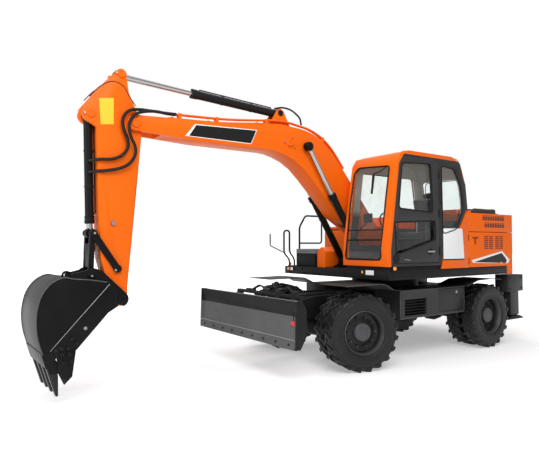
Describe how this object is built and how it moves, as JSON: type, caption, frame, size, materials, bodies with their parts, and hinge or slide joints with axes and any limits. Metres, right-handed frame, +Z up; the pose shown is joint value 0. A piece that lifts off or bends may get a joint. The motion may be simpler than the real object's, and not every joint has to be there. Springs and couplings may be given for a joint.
{
  "type": "wheeled excavator",
  "caption": "Wheeled excavator with slewing cab and engine house, boom, arm and bucket, twin-tyred axles, front blade and rear outriggers.",
  "frame": {"origin": "on the ground, under the middle of the overall length and width", "axes": "+X towards the blade and bucket, +Y to the left side with the cab door, +Z up"},
  "size_m": [7.9116, 2.726, 3.834],
  "materials": {
    "orange_paint": "gloss",
    "dark_paint": "satin",
    "black_paint": "satin",
    "grey_paint": "satin",
    "engine_casting": "cast",
    "chrome_rod": "polished",
    "clear_glass": "clear",
    "seat_fabric": "woven",
    "cab_plastic": "matte",
    "tyre_rubber": "moulded",
    "rim_paint": "satin"
  },
  "bodies": {
    "undercarriage": {"chassis_frame": "dark_paint", "front_axle": "dark_paint", "rear_axle": "dark_paint", "side_box_left": "dark_paint", "side_box_right": "dark_paint", "outrigger_beam": "dark_paint"},
    "side_box_lid": {"side_box_door": "dark_paint"},
    "steer_left": {"knuckle_left": "dark_paint"},
    "steer_right": {"knuckle_right": "dark_paint"},
    "wheel_front_left": {"tyres_front_left": "tyre_rubber", "rim_front_left": "rim_paint"},
    "wheel_front_right": {"tyres_front_right": "tyre_rubber", "rim_front_right": "rim_paint"},
    "wheel_rear_left": {"tyres_rear_left": "tyre_rubber", "rim_rear_left": "rim_paint"},
    "wheel_rear_right": {"tyres_rear_right": "tyre_rubber", "rim_rear_right": "rim_paint"},
    "outrigger_left": {"outrigger_leg_left": "dark_paint"},
    "outrigger_right": {"outrigger_leg_right": "dark_paint"},
    "blade_frame": {"blade_arms": "dark_paint"},
    "blade_upper_links": {"blade_links": "dark_paint"},
    "dozer_blade": {"blade": "grey_paint"},
    "blade_barrel_left": {"blade_cylinder_left": "dark_paint"},
    "blade_barrel_right": {"blade_cylinder_right": "dark_paint"},
    "blade_piston_left": {"blade_rod_left": "chrome_rod"},
    "blade_piston_right": {"blade_rod_right": "chrome_rod"},
    "house": {"upper_frame": "dark_paint", "counterweight": "orange_paint", "engine_housing": "orange_paint", "engine_block": "engine_casting", "cab_shell": "orange_paint", "windshield": "clear_glass", "quarter_glass": "clear_glass", "right_glass": "clear_glass", "rear_glass": "clear_glass", "seat": "seat_fabric", "console": "cab_plastic", "tank_right": "orange_paint", "battery_box": "dark_paint", "foot_cover": "orange_paint", "handrails": "dark_paint"},
    "hood": {"engine_hood": "orange_paint"},
    "bay_door_left": {"engine_door_left": "orange_paint"},
    "bay_door_right": {"engine_door_right": "orange_paint"},
    "door": {"cab_door": "dark_paint", "door_glass": "clear_glass"},
    "boom_body": {"boom": "orange_paint"},
    "boom_barrel_left": {"boom_cylinder_left": "black_paint"},
    "boom_barrel_right": {"boom_cylinder_right": "black_paint"},
    "boom_piston_left": {"boom_rod_left": "chrome_rod"},
    "boom_piston_right": {"boom_rod_right": "chrome_rod"},
    "arm_barrel": {"arm_cylinder": "dark_paint"},
    "arm_piston": {"arm_rod": "chrome_rod"},
    "arm_body": {"arm": "orange_paint"},
    "bucket_barrel": {"bucket_cylinder": "dark_paint"},
    "bucket_piston": {"bucket_rod": "chrome_rod"},
    "rocker_body": {"rocker": "dark_paint"},
    "link_body": {"bucket_link": "dark_paint"},
    "bucket_body": {"bucket": "black_paint"}
  },
  "joints": [
    {"name": "left_steering", "type": "hinge", "parent": "undercarriage", "child": "steer_left", "pos_m": [-0.07578, 0.76, 0.525], "axis": [0, 0, 1], "range_deg": [-8.3, 41.7]},
    {"name": "right_steering", "type": "hinge", "parent": "undercarriage", "child": "steer_right", "pos_m": [-0.07578, -0.76, 0.525], "axis": [0, 0, 1], "range_deg": [-8.5, 41.9]},
    {"name": "wheel_front_left_spin", "type": "hinge", "parent": "steer_left", "child": "wheel_front_left", "pos_m": [-0.07578, 0.76, 0.525], "axis": [0.2874, 0.9578, 0], "continuous": true},
    {"name": "wheel_front_right_spin", "type": "hinge", "parent": "steer_right", "child": "wheel_front_right", "pos_m": [-0.07578, -0.76, 0.525], "axis": [0.2874, 0.9578, 0], "continuous": true},
    {"name": "wheel_rear_left_spin", "type": "hinge", "parent": "undercarriage", "child": "wheel_rear_left", "pos_m": [-2.87578, 0.76, 0.525], "axis": [0, 1, 0], "continuous": true},
    {"name": "wheel_rear_right_spin", "type": "hinge", "parent": "undercarriage", "child": "wheel_rear_right", "pos_m": [-2.87578, -0.76, 0.525], "axis": [0, 1, 0], "continuous": true},
    {"name": "left_outrigger_drop", "type": "slide", "parent": "undercarriage", "child": "outrigger_left", "axis": [0, 0, -1], "range_m": [0, 0.43]},
    {"name": "right_outrigger_drop", "type": "slide", "parent": "undercarriage", "child": "outrigger_right", "axis": [0, 0, -1], "range_m": [0, 0.43]},
    {"name": "side_box_lid_hinge", "type": "hinge", "parent": "undercarriage", "child": "side_box_lid", "pos_m": [-1.66658, 1.1, 0.85], "axis": [0, 0, -1], "range_deg": [0, 110]},
    {"name": "blade_lower", "type": "hinge", "parent": "undercarriage", "child": "blade_frame", "pos_m": [0.58422, 0, 0.52], "axis": [0, 1, 0], "range_deg": [-8, 56]},
    {"name": "blade_upper_link_turn", "type": "hinge", "parent": "undercarriage", "child": "blade_upper_links", "pos_m": [0.58422, 0, 0.72], "axis": [0, 1, 0], "range_deg": [-9, 57]},
    {"name": "blade_level", "type": "hinge", "parent": "blade_frame", "child": "dozer_blade", "pos_m": [1.08422, 0, 0.7], "axis": [0, 1, 0], "range_deg": [-57, 9]},
    {"name": "left_blade_barrel_turn", "type": "hinge", "parent": "undercarriage", "child": "blade_barrel_left", "pos_m": [0.53422, 0.15, 1.06], "axis": [0, 1, 0], "range_deg": [-8, 42]},
    {"name": "left_blade_piston_slide", "type": "slide", "parent": "blade_barrel_left", "child": "blade_piston_left", "axis": [0.9732, 0, -0.23], "range_m": [-0.05, 0.24]},
    {"name": "right_blade_barrel_turn", "type": "hinge", "parent": "undercarriage", "child": "blade_barrel_right", "pos_m": [0.53422, -0.15, 1.06], "axis": [0, 1, 0], "range_deg": [-8, 42]},
    {"name": "right_blade_piston_slide", "type": "slide", "parent": "blade_barrel_right", "child": "blade_piston_right", "axis": [0.9732, 0, -0.23], "range_m": [-0.05, 0.24]},
    {"name": "slew", "type": "hinge", "parent": "undercarriage", "child": "house", "pos_m": [-1.62578, 0, 1.211], "axis": [0, 0, 1], "continuous": true},
    {"name": "hood_hinge", "type": "hinge", "parent": "house", "child": "hood", "pos_m": [-2.27578, 0, 2.236], "axis": [0, 1, 0], "range_deg": [0, 55]},
    {"name": "left_bay_door_hinge", "type": "hinge", "parent": "house", "child": "bay_door_left", "pos_m": [-3.31578, 1.24, 1.635], "axis": [0, 0, 1], "range_deg": [0, 90]},
    {"name": "right_bay_door_hinge", "type": "hinge", "parent": "house", "child": "bay_door_right", "pos_m": [-3.31578, -1.24, 1.635], "axis": [0, 0, -1], "range_deg": [0, 90]},
    {"name": "cab_door_hinge", "type": "hinge", "parent": "house", "child": "door", "pos_m": [-0.44578, 1.24, 1.55], "axis": [0, 0, -1], "range_deg": [0, 95]},
    {"name": "boom_raise", "type": "hinge", "parent": "house", "child": "boom_body", "pos_m": [-1.44578, 0, 1.665], "axis": [0, -1, 0], "range_deg": [-40, 27]},
    {"name": "left_boom_barrel_turn", "type": "hinge", "parent": "house", "child": "boom_barrel_left", "pos_m": [-0.87578, 0.248, 1.45], "axis": [0, -1, 0], "range_deg": [-46, 31]},
    {"name": "left_boom_piston_slide", "type": "slide", "parent": "boom_barrel_left", "child": "boom_piston_left", "axis": [0.5469, 0, 0.8372], "range_m": [-0.385, 0.265]},
    {"name": "right_boom_barrel_turn", "type": "hinge", "parent": "house", "child": "boom_barrel_right", "pos_m": [-0.87578, -0.248, 1.45], "axis": [0, -1, 0], "range_deg": [-46, 31]},
    {"name": "right_boom_piston_slide", "type": "slide", "parent": "boom_barrel_right", "child": "boom_piston_right", "axis": [0.5469, 0, 0.8372], "range_m": [-0.385, 0.265]},
    {"name": "arm_swing", "type": "hinge", "parent": "boom_body", "child": "arm_body", "pos_m": [2.84922, 0, 3.19], "axis": [0, -1, 0], "range_deg": [-27, 72]},
    {"name": "arm_barrel_turn", "type": "hinge", "parent": "boom_body", "child": "arm_barrel", "pos_m": [0.65522, 0, 3.655], "axis": [0, -1, 0], "range_deg": [-3, 2]},
    {"name": "arm_piston_slide", "type": "slide", "parent": "arm_barrel", "child": "arm_piston", "axis": [0.9989, 0, 0.0478], "range_m": [-0.67, 0.26]},
    {"name": "bucket_curl", "type": "hinge", "parent": "arm_body", "child": "bucket_body", "pos_m": [2.99422, 0, 1.076], "axis": [0, 1, 0], "range_deg": [-5, 140]},
    {"name": "rocker_turn", "type": "hinge", "parent": "arm_body", "child": "rocker_body", "pos_m": [3.03922, 0, 1.435], "axis": [0, 1, 0], "range_deg": [-6, 125]},
    {"name": "link_turn", "type": "hinge", "parent": "bucket_body", "child": "link_body", "pos_m": [3.33622, 0, 1.37], "axis": [0, 1, 0], "range_deg": [-99, 4]},
    {"name": "bucket_barrel_turn", "type": "hinge", "parent": "arm_body", "child": "bucket_barrel", "pos_m": [3.36922, 0, 3.235], "axis": [0, 1, 0], "range_deg": [-7, 1]},
    {"name": "bucket_piston_slide", "type": "slide", "parent": "bucket_barrel", "child": "bucket_piston", "axis": [-0.0325, 0, -0.9995], "range_m": [-0.04, 0.95]}
  ],
  "couplings": [
    {"joint": "right_steering", "follows": "left_steering", "ratio": 1},
    {"joint": "blade_upper_link_turn", "follows": "blade_lower", "ratio": 1},
    {"joint": "blade_level", "follows": "blade_lower", "ratio": -1},
    {"joint": "left_blade_barrel_turn", "follows": "blade_lower", "ratio": 0.71},
    {"joint": "left_blade_piston_slide", "follows": "blade_lower", "m_per_rad": 0.235},
    {"joint": "right_blade_barrel_turn", "follows": "blade_lower", "ratio": 0.71},
    {"joint": "right_blade_piston_slide", "follows": "blade_lower", "m_per_rad": 0.235},
    {"joint": "left_boom_barrel_turn", "follows": "boom_raise", "ratio": 1.12},
    {"joint": "left_boom_piston_slide", "follows": "boom_raise", "m_per_rad": 0.54},
    {"joint": "right_boom_barrel_turn", "follows": "boom_raise", "ratio": 1.12},
    {"joint": "right_boom_piston_slide", "follows": "boom_raise", "m_per_rad": 0.54},
    {"joint": "arm_barrel_turn", "follows": "arm_swing", "ratio": -0.03},
    {"joint": "arm_piston_slide", "follows": "arm_swing", "m_per_rad": -0.525},
    {"joint": "rocker_turn", "follows": "bucket_curl", "ratio": 0.88},
    {"joint": "link_turn", "follows": "bucket_curl", "ratio": -0.7},
    {"joint": "bucket_barrel_turn", "follows": "bucket_curl", "ratio": -0.045},
    {"joint": "bucket_piston_slide", "follows": "bucket_curl", "m_per_rad": 0.385}
  ]
}
